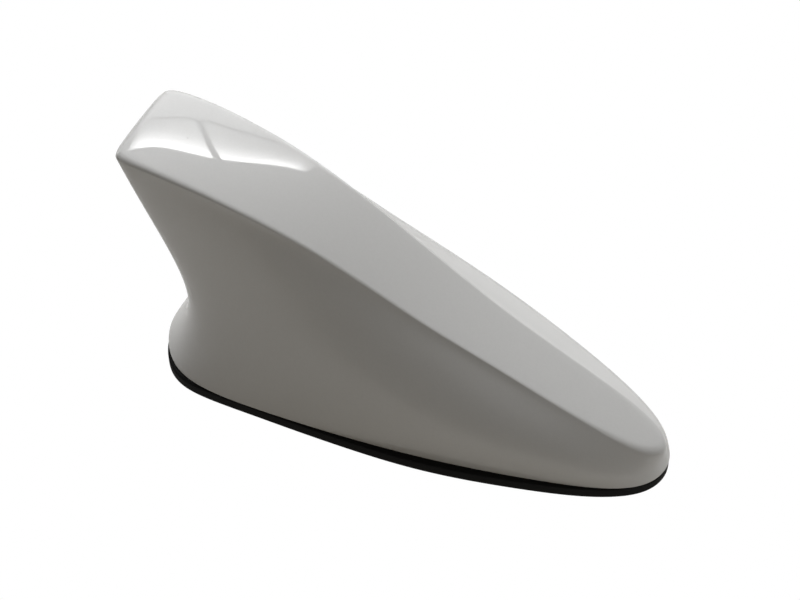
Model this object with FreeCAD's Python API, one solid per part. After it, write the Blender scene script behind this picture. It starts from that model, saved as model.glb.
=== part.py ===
import FreeCAD, Part
import math
import os

V = FreeCAD.Vector
UP = V(0, 0, 1)

# Roof antenna: +X points to the nose, +Z up, the middle plane is Y = 0.
# The origin is on the roof plane, on the axis of the mounting stud. All lengths are in millimetres.

# Cover skin: four rings of poles, (forward, out), from the middle of the tail to the nose.
# The foot ring is the rim, the brow ring lies just above the crease, and the two between shape the wall.
foot_ring = ((-75, 8), (-75, 16.5), (-65, 31.5), (-40, 31.5), (4.5, 27.5), (43, 19), (71, 10))
skirt_ring = ((-58.5, 7.5), (-58.5, 14.5), (-52.5, 21.5), (-28.5, 29.5), (7, 30), (42, 20.5), (70, 12.5))
waist_ring = ((-73, 7.5), (-73, 17), (-65.5, 19.5), (-33, 21.5), (-9.5, 28.5), (26.5, 26), (71.5, 7.5))
brow_ring = ((-89, 7.5), (-89, 13.8), (-85.5, 15), (-54, 14.5), (-18.5, 10.5), (17.5, 1), (70.5, 6))
skirt_share = 0.32
waist_share = 0.49
brow_lift = 2.5

# Inner skin: each pole moves in by the wall, across the fin and along it as inward says.
# It is drafted in straight steps between these shares of the wall's curve.
inward = (1, 1, 1, 0, 0, 0, -1)
core_steps = (0, 0.15, 0.3, 0.5, 0.7, 1)

# Top of the fin: stations along the spine, and the heights of its poles above the rim
spine_knots = (-96, -60, -30, 0, 40, 84)
spine_heights = (62, 64, 62.5, 53.5, 34.5, 19, 8.5, 1)
crown_drop = 0.0021
crease_radius = 1.3
cover_wall = 2.2

# Gasket between the cover and the roof, and how far each pole of its outline stands outside the foot ring
gasket_thick = 3.4
gasket_width = 11.0
gasket_lips = (0.8, 0.6, 1.5, -0.5, 2.0, 0.9, 0.0)

# Base plate, centre pad and roof stud
base_thick = 2.6
fit_gap = 0.3
pad_radius = 11.0
pad_gap = 0.4
stud_radius = 7.0
stud_reach = 16.0
stud_chamfer = 1.0
cable_bore = 4.2
cable_slot = 4.0
slot_start = 9.0
hole_seal_width = 3.5
vent_x = -30.0
vent_hole = 1.0
vent_radius = 4.0
vent_thick = 0.3

# Screws that hold the cover, driven from below
cover_screw_places = ((34.5, 11.5), (-8, 22), (-56, 14))
cover_screw_radius = 1.5
cover_head_radius = 2.8
cover_head_height = 1.5
cover_screw_grip = 5.0
boss_radius = 3.0
boss_height = 14.0
rib_thick = 1.6
rib_gap = 0.6
hole_spare = 2.0
thread_gap = 0.05
seal_width = 2.6
seal_height = 1.4

# Main board on its posts
post_height = 2.2
post_radius = 2.6
board_thick = 1.6
board_margin = 3.0
board_tail_x = -59.0
board_nose_x = 53.5
board_screw_places = ((-53, 8.5), (-53, -8.5), (-2, 16), (-2, -16), (50, 0))
board_screw_radius = 1.2
board_head_radius = 2.3
board_head_height = 1.8
board_screw_grip = 3.0
cable_window = 4.5

# Ceramic patches
gnss_x = 39.5
gnss_side = 15.0
satellite_x = 18.0
satellite_side = 25.0
patch_thick = 4.0
electrode_margin = 2.0
electrode_thick = 0.2
feed_radius = 0.5
feed_gap = 0.05
feed_offset = 2.0

# Shield can and sockets on the board
can_length = 15.0
can_width = 11.0
can_height = 3.2
can_wall = 0.4
can_x = -42.0
can_y = 9.0
can_corner = 1.0
socket_side = 5.0
socket_base = 2.0
socket_height = 4.5
socket_radius = 1.9
socket_bore = 1.2
socket_y = -9.0
socket_first_x = -46.0
socket_pitch = 8.0
socket_count = 3

# Loading coil ahead of the mast
coil_x = -16.0
former_radius = 4.0
former_height = 20.0
flange_radius = 5.5
flange_thick = 1.2
flange_lift = 2.0
wire_thick = 0.7

# Cellular blade beside the coil
blade_x = -25.0
blade_y = 8.5
blade_length = 15.0
blade_height = 22.0
blade_foot = 5.0
sheet_thick = 0.6
blade_notch = 8.0

# Mast board and the capacitance plate under the roof of the tail
mast_front_x = -26.0
mast_thick = 1.2
mast_gap = 1.5
plate_tail_x = -76.0
plate_front_x = -34.0
plate_gap = 1.2
plate_half_width = 8.5
plate_flange = 5.0
plate_splay = 15.0
foam_x = -55.0
foam_length = 14.0
foam_half_width = 5.0

# Cable gland in the stud
gland_flange = 6.2
gland_flange_thick = 1.2
gland_depth = 8.0
gland_gap = 0.05
gland_holes = 3
gland_hole_radius = 1.2
gland_hole_circle = 2.3

# Levels that several pieces share
rim_z = gasket_thick
base_top = rim_z + base_thick
board_bottom = base_top + post_height
board_top = board_bottom + board_thick
sky = 2 * max(spine_heights)


def spine_stations():
    # Poles of a cubic sit at the mean of three neighbouring knots, so the curve's parameter is X itself.
    first, last = spine_knots[0], spine_knots[-1]
    padded = [first] * 3 + list(spine_knots) + [last] * 3
    return [sum(padded[i + 1:i + 4]) / 3 for i in range(len(spine_heights))]


def end_clamped(degree):
    return [degree + 1] + [1] * (len(spine_knots) - 2) + [degree + 1]


def spine_curve():
    curve = Part.BSplineCurve()
    poles = [V(x, 0, z) for x, z in zip(spine_stations(), spine_heights)]
    curve.buildFromPolesMultsKnots(poles, end_clamped(3), list(spine_knots), False, 3)
    return curve


def spine_height(x, depth=0.0):
    # Height above the rim of the fin's top on the middle plane, or of a skin at some depth below it
    curve = spine_curve()
    at = min(max(x, spine_knots[0]), spine_knots[-1])
    slope = curve.tangent(at)[0]
    return curve.value(at).z - depth / abs(slope.x)


def above_spine(depth):
    # Everything above the crowned top of the fin, sunk by depth
    half = 1.5 * max(y for ring in (foot_ring, skirt_ring) for x, y in ring)
    drop = crown_drop * half * half
    rows = []
    for x, z in zip(spine_stations(), spine_heights):
        curve = spine_curve()
        sink = depth / abs(curve.tangent(x)[0].x)
        middle = rim_z + z - sink
        rows.append([V(x, -half, middle - drop), V(x, 0, middle + drop), V(x, half, middle - drop)])
    surface = Part.BSplineSurface()
    surface.buildFromPolesMultsKnots(
        rows, end_clamped(3), [3, 3], list(spine_knots), [0, 1], False, False, 3, 2)
    return surface.toShape().extrude(UP * (2 * sky))


def wall_columns(depth):
    # Poles of the near side of the wall: a column of four at each station from the tail to the nose
    columns = []
    shares = (0, skirt_share, waist_share, 1)
    for ahead, *poles in zip(inward, foot_ring, skirt_ring, waist_ring, brow_ring):
        rise = spine_height(poles[-1][0]) + brow_lift
        columns.append([V(x + depth * ahead, depth - y, rim_z + share * rise)
                        for (x, y), share in zip(poles, shares)])
    return columns


def with_mirror(points):
    # The near side's points, then the far side's back to the tail
    return points + [V(p.x, -p.y, p.z) for p in reversed(points)]


def middle_turns(count):
    # A closed cubic crosses the middle plane between two poles, at 1.5 before the number of the later one
    return count - 1.5, count / 2 - 1.5 + count, 2 * count - 1.5


def closed_halves(points):
    # Smooth closed outline from the near side's poles, as its near and far edges
    poles = with_mirror(points)
    count = len(poles)
    edges = []
    tail, nose, round_again = middle_turns(count)
    for start, end in ((tail, nose), (nose, round_again)):
        curve = Part.BSplineCurve()
        curve.buildFromPolesMultsKnots(poles, [1] * (count + 1), list(range(count + 1)), True, 3)
        curve.segment(start, end)
        edges.append(curve.toShape())
    return edges


def smooth_wall(columns):
    # The wall's two faces: a closed cubic round the fin, and one cubic from the rim up to the brow
    poles = [with_mirror(list(row)) for row in zip(*columns)]
    count = len(poles[0])
    faces = []
    tail, nose, round_again = middle_turns(count)
    for start, end in ((tail, nose), (nose, round_again)):
        surface = Part.BSplineSurface()
        surface.buildFromPolesMultsKnots(
            list(zip(*poles)), [1] * (count + 1), [4, 4], list(range(count + 1)), [0, 1], True, False, 3, 3)
        surface.segment(start, end, 0, 1)
        faces.append(surface.toShape())
    return faces


def along_column(column, share):
    # Point at a share of the cubic that a column of four poles draws
    rest = 1 - share
    a, b, c, d = column
    return a * rest ** 3 + b * (3 * rest * rest * share) + c * (3 * rest * share * share) + d * share ** 3


def fin_form(depth):
    # Solid fin: the wall, carried straight up and down to flat ends, then cut by the top and by the rim plane
    columns = wall_columns(depth)
    steps = core_steps if depth else (0, 1)
    rows = [[along_column(column, share) for column in columns] for share in steps]
    ground = [V(p.x, p.y, -sky) for p in rows[0]]
    ceiling = [V(p.x, p.y, 2 * sky) for p in rows[-1]]
    edges = [closed_halves(row) for row in [ground] + rows + [ceiling]]
    bands = list(zip(edges, edges[1:]))
    faces = [Part.Face(Part.Wire(edges[0])), Part.Face(Part.Wire(edges[-1]))]
    if not depth:
        faces += smooth_wall(columns)
        bands = [bands[0], bands[-1]]
    for low, high in bands:
        faces += [Part.makeRuledSurface(a, b) for a, b in zip(low, high)]
    shell = Part.makeShell(faces)
    shell.sewShape()
    block = Part.makeSolid(shell)
    below = Part.makeBox(4 * sky, 4 * sky, 4 * sky, V(-2 * sky, -2 * sky, rim_z - 4 * sky))
    return block.cut(above_spine(depth)).cut(below).Solids[0]


def foot_outline(z, lips):
    # Closed outline at height z, each pole standing outside the foot ring by its lip
    points = [V(x - lip * ahead, -y - lip, z) for ahead, (x, y), lip in zip(inward, foot_ring, lips)]
    return Part.Wire(closed_halves(points))


def drawn_in_outline(z, inset):
    # Closed outline at height z: the foot ring drawn in by inset at its ends and at its widest
    tail, nose, wide = foot_ring[0][0], foot_ring[-1][0], max(y for x, y in foot_ring)
    middle, half = (tail + nose) / 2, (nose - tail) / 2
    points = [V(middle + (x - middle) * (1 - inset / half), -y * (1 - inset / wide), z) for x, y in foot_ring]
    return Part.Wire(closed_halves(points))


def column(wire, height):
    return Part.Face(wire).extrude(UP * height)


def rod(radius, x, y, z0, z1):
    return Part.makeCylinder(radius, z1 - z0, V(x, y, z0))


def slab(x, y, length, width, z0, z1):
    return Part.makeBox(length, width, z1 - z0, V(x - length / 2, y - width / 2, z0))


def both_sides(places):
    return [(x, y * side) for x, y in places for side in (-1, 1)]


def boss_with_rib(x, y):
    # Screw boss, tied to the wall beside it by a rib that clears the board
    top = base_top + boss_height
    boss = rod(boss_radius, x, y, base_top, top)
    away = math.copysign(sky, y)
    rib = slab(x, y + away / 2, rib_thick, sky, board_top + rib_gap, top)
    return boss.fuse(rib)


def outer_cover():
    form = fin_form(0)
    top = max(form.Faces, key=lambda face: face.CenterOfMass.z)
    skin = form.makeFillet(crease_radius, top.Edges)
    shell = skin.cut(fin_form(cover_wall))
    core = fin_form(cover_wall / 2)
    for x, y in both_sides(cover_screw_places):
        shell = shell.fuse(boss_with_rib(x, y).common(core))
    for x, y in both_sides(cover_screw_places):
        depth = cover_screw_grip + hole_spare
        shell = shell.cut(rod(cover_screw_radius + thread_gap, x, y, base_top, base_top + depth))
    return shell


def base_gasket():
    pad = column(foot_outline(rim_z, gasket_lips), -gasket_thick)
    return pad.cut(column(drawn_in_outline(rim_z, gasket_width), -gasket_thick))


def base_plate():
    inside = fin_form(cover_wall + fit_gap)
    plate = inside.common(slab(0, 0, 4 * sky, 4 * sky, rim_z, base_top))
    stud = rod(stud_radius, 0, 0, -stud_reach, rim_z)
    end = [e for e in stud.Edges if abs(e.CenterOfMass.z + stud_reach) < thread_gap]
    stud = stud.makeChamfer(stud_chamfer, end)
    plate = plate.fuse(rod(pad_radius, 0, 0, pad_gap, rim_z)).fuse(stud)
    for x, y in board_screw_places:
        plate = plate.fuse(rod(post_radius, x, y, base_top, board_bottom))
    for x, y in board_screw_places:
        hole = rod(board_screw_radius + thread_gap, x, y, board_bottom - board_screw_grip, board_bottom)
        plate = plate.cut(hole)
    for x, y in both_sides(cover_screw_places):
        seat = rim_z + cover_head_height
        plate = plate.cut(rod(cover_head_radius + fit_gap, x, y, rim_z, seat))
        plate = plate.cut(rod(cover_screw_radius + fit_gap, x, y, seat, base_top))
    plate = plate.cut(rod(cable_bore, 0, 0, -stud_reach, base_top))
    slot = slab(-stud_radius, 0, 2 * stud_radius, cable_slot, -stud_reach, -slot_start)
    plate = plate.cut(slot)
    return plate.cut(rod(vent_hole, vent_x, 0, rim_z, base_top))


def hole_seal():
    inner = pad_radius + fit_gap
    return rod(inner + hole_seal_width, 0, 0, 0, rim_z).cut(rod(inner, 0, 0, 0, rim_z))


def cover_seal():
    top = base_top + seal_height
    inside = fin_form(cover_wall + fit_gap)
    ring = inside.common(slab(0, 0, 4 * sky, 4 * sky, base_top, top))
    ring = ring.cut(column(drawn_in_outline(top, cover_wall + fit_gap + seal_width), -seal_height))
    for x, y in both_sides(cover_screw_places):
        ring = ring.cut(rod(boss_radius + fit_gap, x, y, base_top, top))
    return ring


def cover_screws():
    seat = rim_z + cover_head_height
    screws = []
    for x, y in both_sides(cover_screw_places):
        head = rod(cover_head_radius, x, y, rim_z, seat)
        screws.append(head.fuse(rod(cover_screw_radius, x, y, seat, base_top + cover_screw_grip)))
    return Part.makeCompound(screws)


def cable_grommet():
    flange_top = base_top + gland_flange_thick
    plug = rod(gland_flange, 0, 0, base_top, flange_top)
    plug = plug.fuse(rod(cable_bore - gland_gap, 0, 0, base_top - gland_depth, base_top))
    for i in range(gland_holes):
        angle = 2 * math.pi * i / gland_holes
        x, y = gland_hole_circle * math.cos(angle), gland_hole_circle * math.sin(angle)
        plug = plug.cut(rod(gland_hole_radius, x, y, base_top - gland_depth, flange_top))
    return plug


def vent_membrane():
    return rod(vent_radius, vent_x, 0, rim_z - vent_thick, rim_z)


def main_board():
    blank = column(drawn_in_outline(board_top, cover_wall + board_margin), -board_thick)
    length = board_nose_x - board_tail_x
    board = blank.common(slab((board_nose_x + board_tail_x) / 2, 0, length, sky, board_bottom, board_top))
    for x, y in both_sides(cover_screw_places):
        board = board.cut(rod(boss_radius + 2 * fit_gap, x, y, board_bottom, board_top))
    for x, y in board_screw_places:
        board = board.cut(rod(board_screw_radius + fit_gap, x, y, board_bottom, board_top))
    return board.cut(rod(cable_window, 0, 0, board_bottom, board_top))


def board_screws():
    screws = []
    for x, y in board_screw_places:
        head = rod(board_head_radius, x, y, board_top, board_top + board_head_height)
        shank = rod(board_screw_radius, x, y, board_bottom - board_screw_grip, board_top)
        screws.append(head.fuse(shank))
    return Part.makeCompound(screws)


def patch(x, side):
    body = slab(x, 0, side, side, board_top, board_top + patch_thick)
    return body.cut(rod(feed_radius + feed_gap, x + feed_offset, 0, board_top, board_top + patch_thick))


def electrode(x, side):
    low = board_top + patch_thick
    sheet = slab(x, 0, side - 2 * electrode_margin, side - 2 * electrode_margin, low, low + electrode_thick)
    return sheet.cut(rod(feed_radius + feed_gap, x + feed_offset, 0, low, low + electrode_thick))


def feed_pin(x):
    return rod(feed_radius, x + feed_offset, 0, board_top, board_top + patch_thick + electrode_thick)


def shield_can():
    can = slab(can_x, can_y, can_length, can_width, board_top, board_top + can_height)
    upright = [e for e in can.Edges if abs(e.tangentAt(e.FirstParameter).z) > 0.5]
    can = can.makeFillet(can_corner, upright)
    room = slab(can_x, can_y, can_length - 2 * can_wall, can_width - 2 * can_wall,
                board_top, board_top + can_height - can_wall)
    return can.cut(room)


def coax_sockets():
    sockets = []
    for i in range(socket_count):
        x = socket_first_x + i * socket_pitch
        base = slab(x, socket_y, socket_side, socket_side, board_top, board_top + socket_base)
        barrel = rod(socket_radius, x, socket_y, board_top + socket_base, board_top + socket_height)
        bore = rod(socket_bore, x, socket_y, board_top + socket_base, board_top + socket_height)
        sockets.append(base.fuse(barrel.cut(bore)))
    return Part.makeCompound(sockets)


def coil_former():
    top = board_top + former_height
    body = rod(former_radius, coil_x, 0, board_top, top)
    for low in (board_top + flange_lift, top - flange_lift - flange_thick):
        body = body.fuse(rod(flange_radius, coil_x, 0, low, low + flange_thick))
    return body


def loading_coil():
    low = board_top + flange_lift + flange_thick
    high = board_top + former_height - flange_lift - flange_thick
    inner = former_radius + thread_gap
    return rod(inner + wire_thick, coil_x, 0, low, high).cut(rod(inner, coil_x, 0, low, high))


def cellular_blade():
    # Upright sheet with a foot turned out along the board and a step in its top edge
    low, high = board_top, board_top + blade_height
    tail, front = blade_x - blade_length / 2, blade_x + blade_length / 2
    points = [V(tail, blade_y, low), V(front, blade_y, low), V(front, blade_y, high - blade_notch),
              V(blade_x, blade_y, high - blade_notch), V(blade_x, blade_y, high), V(tail, blade_y, high)]
    upright = Part.Face(Part.makePolygon(points + points[:1])).extrude(V(0, sheet_thick, 0))
    foot = Part.makeBox(blade_length, blade_foot, sheet_thick, V(tail, blade_y, low))
    return upright.fuse(foot)


def plate_line():
    # Straight line under the roof of the tail that the capacitance plate lies on: its two ends
    ends = []
    for x in (plate_tail_x, plate_front_x):
        ends.append(V(x, 0, rim_z + spine_height(x, cover_wall) - plate_gap))
    return ends


def under_line(drop):
    # Everything below the plate's line, lowered by drop
    tail, front = plate_line()
    slope = (front - tail).normalize()
    down = V(-slope.z, 0, slope.x) * -drop
    a, b = tail - slope * sky + down, front + slope * sky + down
    points = [a, b, V(b.x, 0, -sky), V(a.x, 0, -sky)]
    face = Part.Face(Part.makePolygon(points + points[:1]))
    face.translate(V(0, -sky, 0))
    return face.extrude(V(0, 2 * sky, 0))


def top_load_plate():
    # Folded sheet: a flat back with splayed flanges, drawn across the fin and run along the plate's line
    tail, front = plate_line()
    along = (front - tail).normalize()
    normal = V(-along.z, 0, along.x)
    lean = math.radians(plate_splay)
    out, down = plate_flange * math.sin(lean), plate_flange * math.cos(lean)
    skin = sheet_thick / math.cos(lean)
    half = [(plate_half_width, 0), (plate_half_width + out, -down),
            (plate_half_width + out - skin, -down), (plate_half_width - skin, -sheet_thick)]
    profile = half + [(-y, z) for y, z in reversed(half)]
    points = [tail + V(0, y, 0) + normal * z for y, z in profile]
    return Part.Face(Part.makePolygon(points + points[:1])).extrude(front - tail)


def mast_board():
    inside = fin_form(cover_wall + fit_gap)
    inside.translate(V(mast_gap, 0, 0))
    length = mast_front_x - spine_knots[0]
    sheet = slab(mast_front_x - length / 2, 0, length, mast_thick, board_top, sky)
    return sheet.common(inside).common(under_line(sheet_thick))


def foam_pad():
    block = slab(foam_x, 0, foam_length, 2 * foam_half_width, board_top, sky)
    return block.common(fin_form(cover_wall)).cut(under_line(0))


pieces = {
    "outer_cover": outer_cover,
    "base_gasket": base_gasket,
    "base_plate": base_plate,
    "hole_seal": hole_seal,
    "cover_seal": cover_seal,
    "cover_screws": cover_screws,
    "cable_grommet": cable_grommet,
    "vent_membrane": vent_membrane,
    "main_board": main_board,
    "board_screws": board_screws,
    "shield_can": shield_can,
    "coax_sockets": coax_sockets,
    "gnss_patch": lambda: patch(gnss_x, gnss_side),
    "gnss_electrode": lambda: electrode(gnss_x, gnss_side),
    "gnss_feed_pin": lambda: feed_pin(gnss_x),
    "satellite_patch": lambda: patch(satellite_x, satellite_side),
    "satellite_electrode": lambda: electrode(satellite_x, satellite_side),
    "satellite_feed_pin": lambda: feed_pin(satellite_x),
    "coil_former": coil_former,
    "loading_coil": loading_coil,
    "cellular_blade": cellular_blade,
    "mast_board": mast_board,
    "top_load_plate": top_load_plate,
    "foam_pad": foam_pad,
}

os.makedirs("parts", exist_ok=True)
for name, make in pieces.items():
    shape = make()
    shape.exportStep("parts/" + name + ".step")
    print(name, len(shape.Solids), "solids", round(shape.Volume, 1), "mm3")
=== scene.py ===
import math

import bmesh
import bpy
import numpy as np
from mathutils import Matrix, Vector


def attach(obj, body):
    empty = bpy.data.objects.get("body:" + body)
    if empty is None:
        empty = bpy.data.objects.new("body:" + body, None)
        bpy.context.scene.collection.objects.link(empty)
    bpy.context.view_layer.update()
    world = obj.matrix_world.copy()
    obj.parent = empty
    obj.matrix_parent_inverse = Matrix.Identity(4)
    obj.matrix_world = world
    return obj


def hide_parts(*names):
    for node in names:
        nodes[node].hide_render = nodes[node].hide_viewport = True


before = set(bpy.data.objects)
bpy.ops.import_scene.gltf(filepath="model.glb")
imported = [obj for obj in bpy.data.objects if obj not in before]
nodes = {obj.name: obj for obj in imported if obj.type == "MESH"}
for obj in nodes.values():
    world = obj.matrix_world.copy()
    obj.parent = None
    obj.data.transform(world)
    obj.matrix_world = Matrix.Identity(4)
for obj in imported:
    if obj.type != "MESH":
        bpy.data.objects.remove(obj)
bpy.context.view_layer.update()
mm = 0.001
print("frame loaded:", len(nodes), "nodes")


# small helpers for meshes and shader nodes

def addObject(name, data):
    obj = bpy.data.objects.new(name, data)
    bpy.context.scene.collection.objects.link(obj)
    return obj


def gridMesh(name, rows, weldReach, loop=False):
    # closed rings of equal length, in mm, stitched ring to ring with quads, then welded
    count = len(rows[0])
    faces = []
    for r in range(len(rows) if loop else len(rows) - 1):
        low, high = r * count, ((r + 1) % len(rows)) * count
        for i in range(count):
            j = (i + 1) % count
            faces.append((low + i, low + j, high + j, high + i))
    mesh = bpy.data.meshes.new(name)
    mesh.from_pydata((np.concatenate(rows) * mm).tolist(), [], faces)
    mesh.validate()
    bm = bmesh.new()
    bm.from_mesh(mesh)
    bmesh.ops.remove_doubles(bm, verts=bm.verts, dist=weldReach)
    bmesh.ops.recalc_face_normals(bm, faces=bm.faces)
    bm.to_mesh(mesh)
    bm.free()
    mesh.polygons.foreach_set("use_smooth", [True] * len(mesh.polygons))
    return addObject(name, mesh)


def dress(obj, material):
    obj.data.materials.clear()
    obj.data.materials.append(material)


def newMaterial(name):
    material = bpy.data.materials.new(name)
    material.use_nodes = True
    material.node_tree.nodes.clear()
    return material, material.node_tree


def feed(tree, node, inputs):
    # an input takes a value, or another node's socket as a link
    for socket, value in inputs.items():
        if isinstance(value, bpy.types.NodeSocket):
            tree.links.new(value, node.inputs[socket])
        else:
            node.inputs[socket].default_value = value
    return node


def addNode(tree, kind, inputs=None):
    return feed(tree, tree.nodes.new(kind), inputs or {})


def addGroup(tree, group, inputs):
    node = tree.nodes.new("ShaderNodeGroup")
    node.node_tree = group
    return feed(tree, node, inputs).outputs


def mixColours(tree, factor, a, b):
    node = tree.nodes.new("ShaderNodeMix")
    node.data_type = "RGBA"
    return feed(tree, node, {"Factor": factor, "A": a, "B": b}).outputs["Result"]


def mixShaders(tree, factor, a, b):
    return addNode(tree, "ShaderNodeMixShader", {"Fac": factor, 1: a, 2: b}).outputs["Shader"]


def multiply(tree, a, b):
    node = tree.nodes.new("ShaderNodeMath")
    node.operation = "MULTIPLY"
    return feed(tree, node, {0: a, 1: b}).outputs["Value"]


def opaque(colour):
    return (*colour, 1)


def newGroup(name, inputs, outputs):
    # an input of None is a vector, any other is a number with its default
    group = bpy.data.node_groups.new(name, "ShaderNodeTree")
    for socket, value in inputs.items():
        kind = "NodeSocketVector" if value is None else "NodeSocketFloat"
        made = group.interface.new_socket(name=socket, in_out="INPUT", socket_type=kind)
        if value is not None:
            made.default_value = value
    for socket in outputs:
        group.interface.new_socket(name=socket, in_out="OUTPUT", socket_type="NodeSocketFloat")
    return group, addNode(group, "NodeGroupInput").outputs


# cover: the CAD's rings of poles, a little rounder at the tail's corners, with a soft crease and rim

coverShape = {
    "footRing": ((-75, 8), (-75, 16.5), (-65, 31.5), (-40, 31.5), (4.5, 27.5), (43, 19), (71, 10)),
    "skirtRing": ((-58.5, 7.5), (-58.5, 14.5), (-52.5, 21.5), (-28.5, 29.5), (7, 30), (42, 20.5), (70, 12.5)),
    "waistRing": ((-73, 7.5), (-73, 17), (-65.5, 19.5), (-33, 21.5), (-9.5, 28.5), (26.5, 26), (71.5, 7.5)),
    "browRing": ((-89.0, 7), (-89.0, 12.8), (-85.2, 15), (-54, 14.5), (-18.5, 10.5), (17.5, 1), (70.5, 6)),
    "skirtShare": 0.32,
    "waistShare": 0.49,
    "browLift": 2.5,
    "spineKnots": (-96, -60, -30, 0, 40, 84),
    "spineHeights": (62, 64, 62.5, 53.5, 34.5, 19, 8.5, 1),
    "crownDrop": 0.0021,
    "rim": 3.4,              # height of the rim above the roof
    "creaseRound": 1.4,      # on the wall's side of the crease, mm
    "noseSoft": 1.0,         # how much rounder the crease grows at the nose, and between which x
    "noseSpan": (48, 67),
    "topRound": 1.7,         # times as much on the top's side
    "rimRound": 0.4,
    "flare": 0.15,           # hollow just above the rim, mm, and the height where it is deepest
    "flareHeight": 2.6,
    "brow": 0.6,             # hollow just under the crease, mm, and how far below it is deepest
    "browHeight": 3.0,
    "browTail": (-84, -59),  # x where that hollow grows in from the tail, and from the nose
    "browNose": (52, 27),
    "wall": 2.2,             # thickness shown at the rim
    "insideHeight": 2.5,     # how far the inner wall is drawn up from the rim
    "columnsPerPole": 26,
    "rimRows": 4,
    "wallRows": 64,
    "rowCrowding": 1.5,      # above 1 the wall's rows lie closer near the rim
    "creaseRows": 10,
    "topRows": 18,
    "tailFan": 13.0,         # top rows run in to a line this far from the tail and from the nose
    "noseFan": 5.0,
    "weldReach": 2e-6,       # metres
}


def ramp(x, start, end):
    return np.clip((x - start) / (end - start), 0, 1)


def spineHeight(x):
    # cubic spline over the knots, held just short of the last one, where it would drop to nothing
    knots, heights = coverShape["spineKnots"], coverShape["spineHeights"]
    justShort = 1e-6
    x = np.clip(np.asarray(x, float), knots[0], knots[-1] - justShort)
    padded = [knots[0]] * 3 + list(knots) + [knots[-1]] * 3
    basis = [((x >= padded[i]) & (x < padded[i + 1])).astype(float) for i in range(len(padded) - 1)]
    for degree in (1, 2, 3):
        raised = []
        for i in range(len(basis) - 1):
            rise, fall = padded[i + degree] - padded[i], padded[i + degree + 1] - padded[i + 1]
            left = (x - padded[i]) / rise * basis[i] if rise else 0 * x
            right = (padded[i + degree + 1] - x) / fall * basis[i + 1] if fall else 0 * x
            raised.append(left + right)
        basis = raised
    return sum(h * b for h, b in zip(heights, basis))


def topHeight(x, y):
    return coverShape["rim"] + spineHeight(x) - coverShape["crownDrop"] * y * y


def bothSides(points):
    near = [(x, -y) for x, y in points]
    return near + [(x, -y) for x, y in reversed(near)]


def wallPoles():
    s = coverShape
    rises = [spineHeight(x) + s["browLift"] for x, y in bothSides(s["browRing"])]
    shares = {"footRing": 0, "skirtRing": s["skirtShare"], "waistRing": s["waistShare"], "browRing": 1}
    layers = []
    for ring, share in shares.items():
        layers.append([(x, y, s["rim"] + share * rise) for (x, y), rise in zip(bothSides(s[ring]), rises)])
    return np.array(layers, float)      # layer, column, xyz


def roundCurve(poles, turns):
    # uniform closed cubic along a ring of poles
    count = len(poles)
    step = np.floor(turns).astype(int)
    t = (turns - step)[:, None]
    weights = ((1 - t) ** 3, 3 * t ** 3 - 6 * t ** 2 + 4, -3 * t ** 3 + 3 * t ** 2 + 3 * t + 1, t ** 3)
    return sum(w * poles[(step + k) % count] for k, w in enumerate(weights)) / 6


def wallPoint(layers, turns, shares):
    rest = 1 - shares
    weights = (rest ** 3, 3 * rest ** 2 * shares, 3 * rest * shares ** 2, shares ** 3)
    return sum(w[:, None] * roundCurve(layer, turns) for w, layer in zip(weights, layers))


def unit(v):
    return v / np.linalg.norm(v, axis=1, keepdims=True)


def ringAlong(ring):
    return unit(np.roll(ring, -1, 0) - np.roll(ring, 1, 0))


def cornerRound(a, tangentA, reachA, b, tangentB, reachB, count):
    # soft corner from a to b, as one cubic that leaves and arrives along the tangents
    leave, arrive = a + tangentA * reachA, b - tangentB * reachB
    rows = []
    for i in range(1, count):
        t = i / count
        r = 1 - t
        rows.append(a * r ** 3 + leave * 3 * r * r * t + arrive * 3 * r * t * t + b * t ** 3)
    return rows


def creaseShares(layers, turns):
    # share of each wall curve where it meets the top, found by halving
    lowest, halvings = 0.3, 50
    low, high = np.full(len(turns), lowest), np.full(len(turns), 1.0)
    for _ in range(halvings):
        mid = (low + high) / 2
        p = wallPoint(layers, turns, mid)
        under = p[:, 2] < topHeight(p[:, 0], p[:, 1])
        low, high = np.where(under, mid, low), np.where(under, high, mid)
    return low


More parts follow.
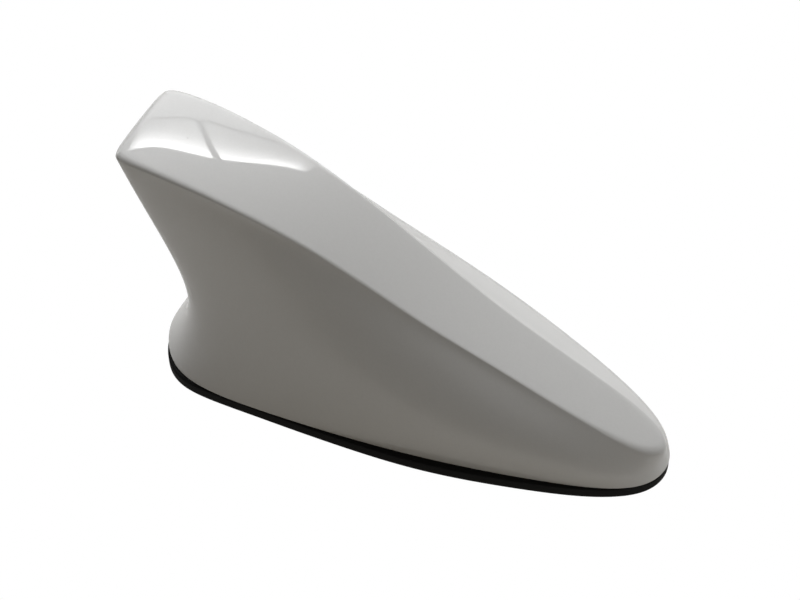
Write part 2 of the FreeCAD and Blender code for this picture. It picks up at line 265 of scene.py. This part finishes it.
def coverRows():
    s = coverShape
    layers = wallPoles()
    count = layers.shape[1] * s["columnsPerPole"]
    turns = np.arange(count) / s["columnsPerPole"]
    nudge, slopeStep, topStep = 1e-3, 0.01, 0.05     # small steps for slopes: a share, and two lengths in mm
    roundHandle = 0.55                               # handle of a cubic quarter circle, per radius

    creaseShare = creaseShares(layers, turns)
    crease = wallPoint(layers, turns, creaseShare)
    creaseX = crease[:, 0]
    above = wallPoint(layers, turns, creaseShare + nudge)
    below = wallPoint(layers, turns, creaseShare - nudge)
    climb = (above - below) / (2 * nudge)
    speed = np.linalg.norm(climb, axis=1)
    up = climb / speed[:, None]
    slope = (spineHeight(creaseX + slopeStep) - spineHeight(creaseX - slopeStep)) / (2 * slopeStep)
    topNormal = unit(np.stack([-slope, 2 * s["crownDrop"] * crease[:, 1], np.ones(count)], 1))
    inward = np.cross(topNormal, ringAlong(crease))  # along the top, square to the crease
    corner = np.arccos(np.clip((-up * inward).sum(1), -1, 1))
    creaseRound = s["creaseRound"] * (1 + s["noseSoft"] * ramp(creaseX, *s["noseSpan"]))
    cut = creaseRound / np.tan(corner / 2)
    reach = (4 / 3 * np.tan((math.pi - corner) / 4) * creaseRound)[:, None]

    end = crease + inward * (cut * s["topRound"])[:, None]
    end[:, 2] = topHeight(end[:, 0], end[:, 1])
    further = end + inward * topStep
    further[:, 2] = topHeight(further[:, 0], further[:, 1])
    endIn = unit(further - end)

    foot = wallPoint(layers, turns, np.zeros(count))
    footAlong = ringAlong(foot)
    footIn = np.stack([-footAlong[:, 1], footAlong[:, 0], np.zeros(count)], 1)
    browDepth = s["brow"] * ramp(creaseX, *s["browTail"]) * ramp(creaseX, *s["browNose"])

    def wallRow(shares):
        # one row of the wall, with the hollow above the rim and the one under the crease
        p = wallPoint(layers, turns, shares)
        h = (p[:, 2] - s["rim"]) / s["flareHeight"]
        g = (creaseShare - shares) * speed / s["browHeight"]
        hollow = footIn * (s["flare"] * h * np.exp(1 - h))[:, None]
        return p + hollow + inward * (browDepth * g * np.exp(1 - g))[:, None]

    startShare = creaseShare - cut / speed
    start = wallRow(startShare)
    startUp = unit(wallRow(startShare + nudge) - wallRow(startShare - nudge))

    footClimb = (wallRow(np.full(count, nudge)) - foot) / nudge
    footSpeed = np.linalg.norm(footClimb, axis=1)
    rimShare = s["rimRound"] / footSpeed
    rimTop = wallRow(rimShare)
    rimFlat = foot + footIn * s["rimRound"]
    rimInner = foot + footIn * s["wall"]
    inside = wallPoint(layers, turns, s["insideHeight"] / footSpeed) + footIn * s["wall"]

    rimReach = roundHandle * s["rimRound"]
    rows = [inside, rimInner, rimFlat]
    rows += cornerRound(rimFlat, -footIn, rimReach, rimTop, unit(footClimb), rimReach, s["rimRows"])
    for i in range(s["wallRows"] + 1):
        share = (i / s["wallRows"]) ** s["rowCrowding"]
        rows.append(wallRow(rimShare + (startShare - rimShare) * share))
    rows += cornerRound(start, startUp, reach, end, endIn, reach * s["topRound"], s["creaseRows"])

    tail, nose = end[:, 0].min(), end[:, 0].max()
    spread = (end[:, 0] - tail) / (nose - tail)
    middle = tail + s["tailFan"] + (nose - s["noseFan"] - (tail + s["tailFan"])) * spread
    for i in range(s["topRows"] + 1):
        share = i / s["topRows"]
        x = end[:, 0] + (middle - end[:, 0]) * share
        y = end[:, 1] * (1 - share)
        rows.append(np.stack([x, y, topHeight(x, y)], 1))
    return rows


coverSkin = gridMesh("coverSkin", coverRows(), coverShape["weldReach"])
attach(coverSkin, "root")
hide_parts("outer_cover")
print("cover built:", len(coverSkin.data.vertices), "points")


# gasket: a rubber pad with soft edges, its lip tucked in at the tail and a little proud on the sides

gasketShape = {
    "lips": (-0.8, -0.8, 1.6, -0.5, 2.4, 1.6, -0.1),     # how far each pole of the foot moves out, mm
    "tailward": (1, 1, 1, 0, 0, 0, -1),                  # times as far towards the tail as well
    "width": 11.0,
    "profile": ((-1.0, 3.4), (-0.35, 3.36), (-0.1, 3.2), (0.0, 2.9),
                (0.0, 1.2), (-0.02, 0.5), (-0.15, 0.15), (-0.45, 0.0)),     # out from the lip, and height
    "wave": 0.1,                                         # how much the lip wanders, mm
    "waves": ((2.7, 1.0, 0.0), (6.1, 0.6, 1.0)),         # pace, share and start of each swing
    "columnsPerPole": 26,
    "weldReach": 1e-7,                                   # metres
}


def gasketRows():
    s = gasketShape
    foot = coverShape["footRing"]
    outer = [(x - lip * back, y + lip) for (x, y), lip, back in zip(foot, s["lips"], s["tailward"])]
    tail, nose, wide = foot[0][0], foot[-1][0], max(y for x, y in foot)
    middle, half = (tail + nose) / 2, (nose - tail) / 2
    window = [(middle + (x - middle) * (1 - s["width"] / half), y * (1 - s["width"] / wide)) for x, y in foot]
    outer, window = np.array(bothSides(outer), float), np.array(bothSides(window), float)
    count = len(outer) * s["columnsPerPole"]
    turns = np.arange(count) / s["columnsPerPole"]
    edge, hole = roundCurve(outer, turns), roundCurve(window, turns)
    along = ringAlong(edge)
    out = np.stack([along[:, 1], -along[:, 0]], 1)
    swing = sum(share * np.sin(turns * pace + start) for pace, share, start in s["waves"])
    wander = s["wave"] * swing / sum(share for pace, share, start in s["waves"]) - s["wave"]
    rows = []
    for reach, z in s["profile"]:
        p = edge + out * (reach + wander[:, None])
        rows.append(np.concatenate([p, np.full((count, 1), z)], 1))
    for z in (0.0, coverShape["rim"]):
        rows.append(np.concatenate([hole, np.full((count, 1), z)], 1))
    return rows


gasketPad = gridMesh("gasketPad", gasketRows(), gasketShape["weldReach"], loop=True)
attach(gasketPad, "root")
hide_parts("base_gasket")
print("gasket built:", len(gasketPad.data.vertices), "points")


# shared surface effects

effectLook = {
    "grainRange": (0.3, 0.7),            # part of the noise that is stretched to run from 0 to 1
    "dustDetail": 5.0,
    "dustLean": -0.2,                    # dust starts on faces whose normal rises above this
    "dustColour": (0.42, 0.40, 0.37),
}


def makeGrain(s):
    # fine mottle: a value that wanders between 0 and 1, and a height for bump
    sockets = {"Place": None, "Scale": 800.0, "Detail": 3.0}
    group, start = newGroup("fineGrain", sockets, ("Value", "Height"))
    noise = addNode(group, "ShaderNodeTexNoise", {
        "Vector": start["Place"], "Scale": start["Scale"], "Detail": start["Detail"]}).outputs["Fac"]
    low, high = s["grainRange"]
    spread = addNode(group, "ShaderNodeMapRange", {"Value": noise, "From Min": low, "From Max": high})
    addNode(group, "NodeGroupOutput", {"Value": spread.outputs["Result"], "Height": noise})
    return group


def makeDust(s):
    # thin dust that settles on faces that look up
    sockets = {"Place": None, "Scale": 300.0, "Amount": 0.2}
    group, start = newGroup("settledDust", sockets, ("Mask",))
    normal = addNode(group, "ShaderNodeNewGeometry").outputs["Normal"]
    split = addNode(group, "ShaderNodeSeparateXYZ", {"Vector": normal})
    noise = addNode(group, "ShaderNodeTexNoise", {
        "Vector": start["Place"], "Scale": start["Scale"], "Detail": s["dustDetail"]})
    lift = addNode(group, "ShaderNodeMapRange", {"Value": split.outputs["Z"], "From Min": s["dustLean"]})
    patchy = multiply(group, lift.outputs["Result"], noise.outputs["Fac"])
    addNode(group, "NodeGroupOutput", {"Mask": multiply(group, patchy, start["Amount"])})
    return group


grainGroup = makeGrain(effectLook)
dustGroup = makeDust(effectLook)

plainFinish = {"detail": 3.0, "depth": 0.0001, "dust": 0.0, "sockets": {}}     # where a finish says nothing


def makeFinish(name, look):
    # two close colours mottled by grain, grain in the roughness and bump, dust where asked
    s = {**plainFinish, **look}
    material, tree = newMaterial(name)
    place = addNode(tree, "ShaderNodeTexCoord").outputs["Object"]
    grain = addGroup(tree, grainGroup, {"Place": place, "Scale": s["grain"], "Detail": s["detail"]})
    colour = mixColours(tree, grain["Value"], opaque(s["colour"]), opaque(s["mottle"]))
    if s["dust"]:
        dust = addGroup(tree, dustGroup, {"Place": place, "Amount": s["dust"]})
        colour = mixColours(tree, dust["Mask"], colour, opaque(effectLook["dustColour"]))
    smooth, coarse = s["rough"]
    rough = addNode(tree, "ShaderNodeMapRange", {"Value": grain["Value"], "To Min": smooth, "To Max": coarse})
    bump = addNode(tree, "ShaderNodeBump", {
        "Height": grain["Height"], "Strength": s["bump"], "Distance": s["depth"]})
    shader = addNode(tree, "ShaderNodeBsdfPrincipled", {
        "Base Color": colour, "Roughness": rough.outputs["Result"], "Normal": bump.outputs["Normal"]})
    feed(tree, shader, s["sockets"])
    addNode(tree, "ShaderNodeOutputMaterial", {"Surface": shader.outputs["BSDF"]})
    return material


# pale grey paint under a clear coat, and black rubber

coverPaint = {
    "colour": (0.52, 0.52, 0.515),
    "mottle": (0.535, 0.535, 0.53),
    "grain": 1500.0,
    "rough": (0.34, 0.40),
    "bump": 0.05,
    "depth": 0.00002,
    "sockets": {"Coat Weight": 1.0, "Coat Roughness": 0.03, "Coat IOR": 1.5, "IOR": 1.45},
}
dress(coverSkin, makeFinish("coverPaint", coverPaint))

gasketRubber = {
    "colour": (0.004, 0.004, 0.004),
    "mottle": (0.007, 0.007, 0.007),
    "grain": 1800.0,
    "rough": (0.55, 0.72),
    "bump": 0.25,
    "depth": 0.00006,
    "dust": 0.008,
    "sockets": {"Specular IOR Level": 0.2},
}
rubber = makeFinish("gasketRubber", gasketRubber)
dress(gasketPad, rubber)
dress(nodes["cable_grommet"], rubber)
print("cover, gasket and grommet dressed")


# pieces under and inside the cover keep their CAD solids

insideFinishes = {
    "castAluminium": (("base_plate",), {
        "colour": (0.50, 0.51, 0.52), "mottle": (0.60, 0.61, 0.62), "grain": 900.0, "detail": 6.0,
        "rough": (0.38, 0.58), "bump": 0.35, "depth": 0.00008, "sockets": {"Metallic": 0.9}}),
    "closedFoam": (("hole_seal", "foam_pad"), {
        "colour": (0.020, 0.020, 0.022), "mottle": (0.045, 0.045, 0.048), "grain": 2600.0, "detail": 2.0,
        "rough": (0.85, 0.98), "bump": 0.8, "depth": 0.00015, "dust": 0.08}),
    "greySilicone": (("cover_seal",), {
        "colour": (0.28, 0.29, 0.31), "mottle": (0.33, 0.34, 0.36), "grain": 700.0,
        "rough": (0.40, 0.52), "bump": 0.1,
        "sockets": {"Subsurface Weight": 0.1, "Subsurface Radius": (0.002, 0.002, 0.002)}}),
    "zincSteel": (("cover_screws", "board_screws"), {
        "colour": (0.52, 0.53, 0.54), "mottle": (0.66, 0.66, 0.64), "grain": 1400.0, "detail": 5.0,
        "rough": (0.24, 0.42), "bump": 0.12, "depth": 0.00003, "sockets": {"Metallic": 1.0}}),
    "breatherFilm": (("vent_membrane",), {
        "colour": (0.74, 0.74, 0.72), "mottle": (0.80, 0.80, 0.78), "grain": 3500.0,
        "rough": (0.7, 0.85), "bump": 0.3, "depth": 0.00003}),
    "solderMask": (("main_board", "mast_board"), {
        "colour": (0.010, 0.105, 0.040), "mottle": (0.022, 0.165, 0.062), "grain": 420.0, "detail": 1.0,
        "rough": (0.22, 0.34), "bump": 0.15, "depth": 0.00005, "sockets": {"Coat Weight": 0.4}}),
    "tinnedSheet": (("shield_can", "cellular_blade", "top_load_plate"), {
        "colour": (0.60, 0.60, 0.58), "mottle": (0.72, 0.72, 0.70), "grain": 500.0, "detail": 6.0,
        "rough": (0.22, 0.40), "bump": 0.08, "depth": 0.00004, "sockets": {"Metallic": 1.0}}),
    "flashedBrass": (("coax_sockets", "gnss_feed_pin", "satellite_feed_pin"), {
        "colour": (0.70, 0.50, 0.20), "mottle": (0.80, 0.62, 0.30), "grain": 1600.0,
        "rough": (0.18, 0.30), "bump": 0.06, "sockets": {"Metallic": 1.0}}),
    "firedCeramic": (("gnss_patch", "satellite_patch"), {
        "colour": (0.56, 0.49, 0.38), "mottle": (0.66, 0.60, 0.49), "grain": 2200.0, "detail": 6.0,
        "rough": (0.55, 0.75), "bump": 0.3, "depth": 0.00005}),
    "firedSilver": (("gnss_electrode", "satellite_electrode"), {
        "colour": (0.74, 0.73, 0.70), "mottle": (0.84, 0.83, 0.80), "grain": 1900.0, "detail": 4.0,
        "rough": (0.26, 0.40), "bump": 0.15, "depth": 0.00003, "sockets": {"Metallic": 1.0}}),
    "formerPlastic": (("coil_former",), {
        "colour": (0.70, 0.70, 0.66), "mottle": (0.76, 0.76, 0.72), "grain": 1000.0,
        "rough": (0.42, 0.55), "bump": 0.12}),
}
for finishName, (wearers, settings) in insideFinishes.items():
    material = makeFinish(finishName, settings)
    for wearer in wearers:
        dress(nodes[wearer], material)

windingLook = {
    "pitch": 0.0004,         # metres from turn to turn
    "colour": (0.50, 0.20, 0.075),
    # painted shade: darker copper for the grooves between turns, where shadow falls
    "grooveShade": (0.20, 0.07, 0.025),
    "depth": 0.00012,
    "sockets": {"Metallic": 0.9, "Roughness": 0.28, "Coat Weight": 0.6},
}


def makeWinding(name, s):
    # turns of enamelled wire, as ridges up the sleeve, with painted shade: darker copper in the grooves
    # between turns
    material, tree = newMaterial(name)
    place = addNode(tree, "ShaderNodeTexCoord").outputs["Object"]
    bandScale = math.pi / 10 / s["pitch"]                # the wave texture repeats every pi / 10 at scale 1
    wave = addNode(tree, "ShaderNodeTexWave", {"Vector": place, "Scale": bandScale})
    wave.bands_direction = "Z"
    ridge = wave.outputs["Fac"]
    # painted shade in the grooves, full copper on the ridges
    colour = mixColours(tree, ridge, opaque(s["grooveShade"]), opaque(s["colour"]))
    bump = addNode(tree, "ShaderNodeBump", {"Height": ridge, "Distance": s["depth"]})
    shader = addNode(tree, "ShaderNodeBsdfPrincipled", {
        "Base Color": colour, "Normal": bump.outputs["Normal"]})
    feed(tree, shader, s["sockets"])
    addNode(tree, "ShaderNodeOutputMaterial", {"Surface": shader.outputs["BSDF"]})
    return material


dress(nodes["loading_coil"], makeWinding("enamelledWire", windingLook))
print("inner pieces dressed")


# camera, from the photograph's viewing angle

cameraView = {
    "azimuth": 27.53,            # degrees from straight at the near side, towards the nose
    "elevation": 50.06,
    "roll": -1.24,
    "distance": 673.32,          # mm to the aim point
    "focalPixels": 2448.11,
    "slide": (31.70, 77.51),     # pixels that the aim point sits right of and below the image centre
    "imageWidth": 800,
    "sensor": 36.0,
    "clipStart": 0.01,           # metres
}


def addCamera(s):
    a, e, r = (math.radians(s[k]) for k in ("azimuth", "elevation", "roll"))
    back = Vector((math.sin(a) * math.cos(e), -math.cos(a) * math.cos(e), math.sin(e)))
    right = Vector((math.cos(a), math.sin(a), 0))
    up = back.cross(right)
    right, up = math.cos(r) * right + math.sin(r) * up, math.cos(r) * up - math.sin(r) * right
    perPixel = s["distance"] / s["focalPixels"]
    aim = Vector((0, 0, coverShape["rim"]))
    spot = aim + back * s["distance"] - right * (s["slide"][0] * perPixel) + up * (s["slide"][1] * perPixel)
    data = bpy.data.cameras.new("photoCamera")
    data.sensor_width = s["sensor"]
    data.sensor_fit = "HORIZONTAL"
    data.lens = s["focalPixels"] * s["sensor"] / s["imageWidth"]
    data.clip_start = s["clipStart"]
    camera = addObject("photoCamera", data)
    turn = Matrix((right, up, back)).transposed().to_4x4()
    camera.matrix_world = Matrix.Translation(spot * mm) @ turn
    bpy.context.scene.camera = camera


addCamera(cameraView)
print("camera placed")


# studio, in metres: pale floor, soft panels, a window of two panes on the far side
# and the dim side of the room behind the camera

studio = {
    "floorSize": 6.0,
    "floorDrop": 0.00005,
    "floorTone": 0.35,
    "floorGlow": 0.175,      # light that the wide pale floor throws back up
    "floorTint": (1, 0.96, 0.88),
    "white": (1, 1, 1),      # the air, and the ground as the camera sees it
    "ambient": 0.02,         # light of the air on the object
    "aim": (-0.01, 0.0, 0.03),
    "panelDistance": 1.6,
}

panels = {
    # turn is the azimuth from the far side towards the nose, and rise the elevation, degrees
    "tailPanel": {"turn": -45, "rise": 35, "size": (1.6, 1.2), "power": 29.0, "colour": (1, 1, 1)},
    "farPanel": {"turn": 20, "rise": 38, "size": (1.6, 1.0), "power": 11.5, "colour": (1, 1, 1)},
    "nosePanel": {"turn": 90, "rise": 5, "size": (1.6, 0.6), "power": 5.5, "colour": (1, 1, 1)},
    "nearPanel": {"turn": 135, "rise": 8, "size": (1.6, 0.6), "power": 2.3, "colour": (1, 0.84, 0.6)},
    "backPanel": {"turn": -150, "rise": 8, "size": (1.6, 0.6), "power": 1.5, "colour": (1, 0.88, 0.7)},
}

window = {
    "distance": 1.5,         # to the window's plane
    "yaw": -15.0,            # degrees from the far side towards the nose
    "sides": (-0.84, 0.74),
    "head": 2.0,             # height of the arched head at its sides
    "archRise": 0.21,
    "foot": 1.80,            # height of the panes' lower edge
    "footFall": 0.20,        # how far that edge falls towards the tail, and over what run
    "footRun": 0.75,
    "endFade": 0.12,
    "mullion": (0.007, 0.074),
    "lean": 0.72,            # how far the mullion leans, per metre down
    "frameGap": 0.03,
    "sill": 0.2,             # where the pale wall ends
    "sillFade": 0.3,         # share of its height over which it dims to that
    "wallSides": (-1.25, 0.95),
    "wallFade": 0.4,
    "wallBright": 1.9,
    "headBright": 15.0,
    "falloff": (2.2, 2.6),   # how fast each pane dims below its head
    "paneGrid": (31, 13),    # points across and down
    "wallGrid": (41, 15),
}

roomSide = {
    "distance": 2.6,
    "yaw": 180.0,
    "halfWidth": 5.0,
    "sideFade": 2.5,
    "level": 0.6,            # even up to this height, then fading out to the top
    "top": 3.6,
    "bright": 0.32,
    "grid": (41, 25),
}


def lookDirection(azimuth, elevation):
    a, e = math.radians(azimuth), math.radians(elevation)
    return Vector((math.sin(a) * math.cos(e), math.cos(a) * math.cos(e), math.sin(e)))


def addFloor(s):
    # white to the camera, a pale cloth with a faint glow to all other light, and clear from below
    half, z = s["floorSize"] / 2, -s["floorDrop"]
    corners = [(-half, -half, z), (half, -half, z), (half, half, z), (-half, half, z)]
    mesh = bpy.data.meshes.new("studioFloor")
    mesh.from_pydata(corners, [], [(0, 1, 2, 3)])
    floor = addObject("studioFloor", mesh)
    material, tree = newMaterial("studioFloor")
    paths = addNode(tree, "ShaderNodeLightPath").outputs
    geometry = addNode(tree, "ShaderNodeNewGeometry").outputs
    grey = opaque((s["floorTone"],) * 3)
    cloth = addNode(tree, "ShaderNodeBsdfDiffuse", {"Color": grey}).outputs["BSDF"]
    tint = {"Color": opaque(s["floorTint"]), "Strength": s["floorGlow"]}
    glow = addNode(tree, "ShaderNodeEmission", tint).outputs["Emission"]
    pale = addNode(tree, "ShaderNodeAddShader", {0: cloth, 1: glow}).outputs["Shader"]
    plain = {"Color": opaque(s["white"]), "Strength": 1.0}
    white = addNode(tree, "ShaderNodeEmission", plain).outputs["Emission"]
    seen = mixShaders(tree, paths["Is Camera Ray"], pale, white)
    clear = addNode(tree, "ShaderNodeBsdfTransparent").outputs["BSDF"]
    sided = mixShaders(tree, geometry["Backfacing"], seen, clear)
    addNode(tree, "ShaderNodeOutputMaterial", {"Surface": sided})
    dress(floor, material)


def addWorld(s):
    # white to the camera, almost dark to the object
    world = bpy.data.worlds.new("studioAir")
    bpy.context.scene.world = world
    world.use_nodes = True
    tree = world.node_tree
    tree.nodes.clear()
    paths = addNode(tree, "ShaderNodeLightPath").outputs
    airs = []
    for strength in (s["ambient"], 1.0):
        air = addNode(tree, "ShaderNodeBackground", {"Color": opaque(s["white"]), "Strength": strength})
        airs.append(air.outputs["Background"])
    addNode(tree, "ShaderNodeOutputWorld", {"Surface": mixShaders(tree, paths["Is Camera Ray"], *airs)})


def addPanel(name, s):
    data = bpy.data.lights.new(name, "AREA")
    data.shape = "RECTANGLE"
    data.size, data.size_y = s["size"]
    data.energy = s["power"]
    data.color = s["colour"]
    lamp = addObject(name, data)
    toward = lookDirection(s["turn"], s["rise"])
    lamp.location = Vector(studio["aim"]) + toward * studio["panelDistance"]
    lamp.rotation_euler = toward.to_track_quat("Z", "Y").to_euler()
    lamp.visible_camera = False
    lamp.visible_glossy = False          # lights the paint but isn't mirrored in it


def sheetMesh(name, rows, glow, s):
    # rows of (along, height) in an upright plane, each point with its own glow
    yaw = math.radians(s["yaw"])
    verts = []
    for row in rows:
        for u, z in row:
            verts.append((s["distance"] * math.sin(yaw) + u * math.cos(yaw),
                          s["distance"] * math.cos(yaw) - u * math.sin(yaw), z))
    count = len(rows[0])
    faces = [(r * count + i, r * count + i + 1, (r + 1) * count + i + 1, (r + 1) * count + i)
             for r in range(len(rows) - 1) for i in range(count - 1)]
    mesh = bpy.data.meshes.new(name)
    mesh.from_pydata(verts, [], faces)
    mesh.attributes.new("glow", "FLOAT", "POINT").data.foreach_set("value", np.ravel(glow))
    sheet = addObject(name, mesh)
    sheet.visible_camera = False
    return sheet


def makeWindowLight():
    # light as strong as the sheet's own glow
    material, tree = newMaterial("windowLight")
    reading = addNode(tree, "ShaderNodeAttribute")
    reading.attribute_name = "glow"
    light = addNode(tree, "ShaderNodeEmission", {"Strength": reading.outputs["Fac"]})
    addNode(tree, "ShaderNodeOutputMaterial", {"Surface": light.outputs["Emission"]})
    return material


def addWindow(s, material):
    # two arched panes, brightest along the head, over a pale wall that fades to its sides
    left, right = s["sides"]

    def headHeight(u):
        span = np.clip(u / (right - left), -0.5, 0.5)
        return s["head"] + s["archRise"] * np.cos(math.pi * span) ** 2

    def footHeight(u):
        return s["foot"] - s["footFall"] * np.clip((s["mullion"][1] - u) / s["footRun"], 0, 1)

    # each pane's edges at the head, and how far each leans with the mullion
    edges = ((left, s["mullion"][0], 0, 1), (s["mullion"][1], right, 1, 0))
    across, down = s["paneGrid"]
    for i, (start, end, leanStart, leanEnd) in enumerate(edges):
        rows, shine = [], []
        for share in np.linspace(0, 1, down):
            lean = s["lean"] * share * (s["head"] + s["archRise"] - s["foot"])
            along = np.linspace(start - lean * leanStart, end - lean * leanEnd, across)
            top = headHeight(along)
            rows.append(list(zip(along, top + (footHeight(along) - top) * share)))
            ends = np.clip(np.minimum(along - left, right - along) / s["endFade"], 0, 1)
            shine.append(s["wallBright"] + s["headBright"] * ends * (1 - share) ** s["falloff"][i])
        dress(sheetMesh("windowPane%d" % (i + 1), rows, shine, s), material)

    wallLeft, wallRight = s["wallSides"]
    across, down = s["wallGrid"]
    rows, shine = [], []
    along = np.linspace(wallLeft, wallRight, across)
    top = footHeight(along) - s["frameGap"]
    fade = np.clip(np.minimum(along - wallLeft, wallRight - along) / s["wallFade"], 0, 1)
    for share in np.linspace(0, 1, down):
        rows.append(list(zip(along, top + (s["sill"] - top) * share)))
        shine.append(s["wallBright"] * fade * min(1, (1 - share) / s["sillFade"]))
    dress(sheetMesh("paleWall", rows, shine, s), material)


def addRoomSide(s, material):
    # dim side of the room behind the camera, only seen mirrored in the paint
    across, down = s["grid"]
    along = np.linspace(-s["halfWidth"], s["halfWidth"], across)
    sideFade = np.clip((s["halfWidth"] - np.abs(along)) / s["sideFade"], 0, 1)
    rows, shine = [], []
    for z in np.linspace(0, s["top"], down):
        rows.append([(u, z) for u in along])
        share = np.clip((s["top"] - z) / (s["top"] - s["level"]), 0, 1)
        shine.append(s["bright"] * sideFade * share * share * (3 - 2 * share))
    sheet = sheetMesh("roomSide", rows, shine, s)
    sheet.visible_diffuse = False
    dress(sheet, material)


addFloor(studio)
addWorld(studio)
for panelName, settings in panels.items():
    addPanel(panelName, settings)
windowLight = makeWindowLight()
addWindow(window, windowLight)
addRoomSide(roomSide, windowLight)
bpy.context.scene.view_settings.view_transform = "Standard"
print("studio set")
